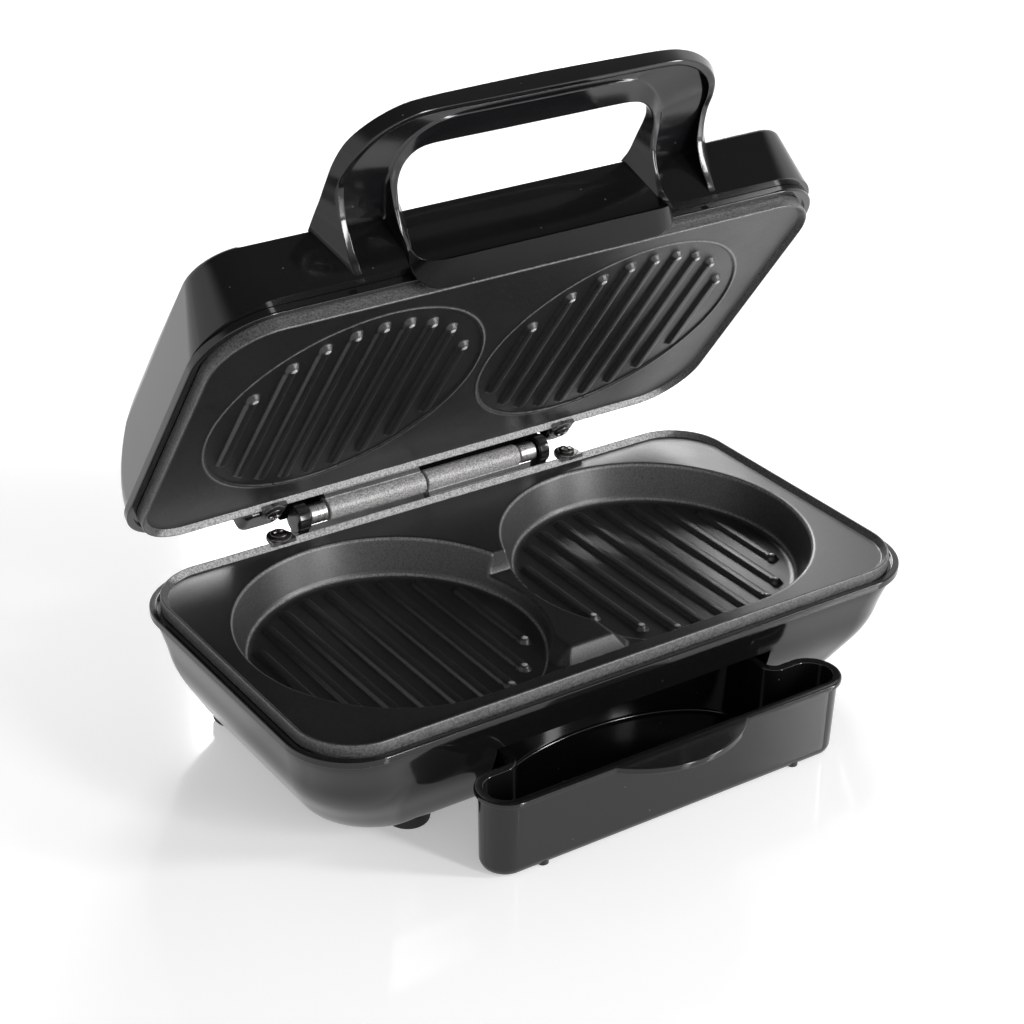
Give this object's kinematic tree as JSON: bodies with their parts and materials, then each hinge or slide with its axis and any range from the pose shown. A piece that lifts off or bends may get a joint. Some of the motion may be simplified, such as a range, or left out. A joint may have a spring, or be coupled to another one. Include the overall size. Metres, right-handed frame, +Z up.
{
  "type": "hamburger maker",
  "caption": "Countertop hamburger maker with round ribbed cooking pockets, a hinged lid with a ring-shaped front handle, and a slide-out drip tray.",
  "frame": {"origin": "on the table, under the middle of the outline with the lid open as pictured", "axes": "+X to the right across the front, -Y to the front, +Z up"},
  "size_m": [0.266, 0.1946, 0.2495],
  "materials": {
    "gloss_black_plastic": "glossy moulded",
    "satin_black_plastic": "satin moulded",
    "non_stick_coating": "cast, with a fine-grained charcoal non-stick coating",
    "dull_steel": "dull drawn",
    "blackened_screw_steel": "blackened",
    "black_foot_rubber": "matt",
    "red_lamp_lens": "glossy",
    "green_lamp_lens": "glossy",
    "cream_ceramic": "unglazed ceramic"
  },
  "bodies": {
    "base": {"base_housing": "gloss_black_plastic", "bottom_cover": "satin_black_plastic", "cord_gland": "satin_black_plastic", "cover_screw_front_left": "blackened_screw_steel", "cover_screw_back_left": "blackened_screw_steel", "cover_screw_front_right": "blackened_screw_steel", "cover_screw_back_right": "blackened_screw_steel", "foot_front_left": "black_foot_rubber", "foot_front_right": "black_foot_rubber", "foot_back_left": "black_foot_rubber", "foot_back_right": "black_foot_rubber", "hinge_cheek_left": "satin_black_plastic", "hinge_cheek_right": "satin_black_plastic", "hinge_pin": "dull_steel", "hinge_shelf": "satin_black_plastic", "hinge_sleeve_left": "dull_steel", "hinge_sleeve_right": "dull_steel", "lower_heater": "dull_steel", "lower_hinge_barrel": "non_stick_coating", "lower_plate": "non_stick_coating", "lower_plate_screw_left": "blackened_screw_steel", "lower_plate_screw_right": "blackened_screw_steel", "terminal_block": "cream_ceramic", "thermostat": "cream_ceramic"},
    "lid": {"lid_housing": "gloss_black_plastic", "hinge_cover": "satin_black_plastic", "upper_hinge_barrel": "non_stick_coating", "upper_plate": "non_stick_coating", "upper_plate_screw_left": "blackened_screw_steel", "upper_plate_screw_right": "blackened_screw_steel", "handle": "satin_black_plastic", "power_lamp": "red_lamp_lens", "ready_lamp": "green_lamp_lens", "upper_heater": "dull_steel"},
    "tray": {"drip_tray": "gloss_black_plastic"}
  },
  "joints": [
    {"name": "lid_hinge", "type": "hinge", "parent": "base", "child": "lid", "pos_m": [0, 0.08156, 0.06084], "axis": [-1, 0, 0], "range_deg": [-57.7, 45]},
    {"name": "tray_slide", "type": "slide", "parent": "base", "child": "tray", "axis": [0, -1, 0], "range_m": [0, 0.06]}
  ]
}
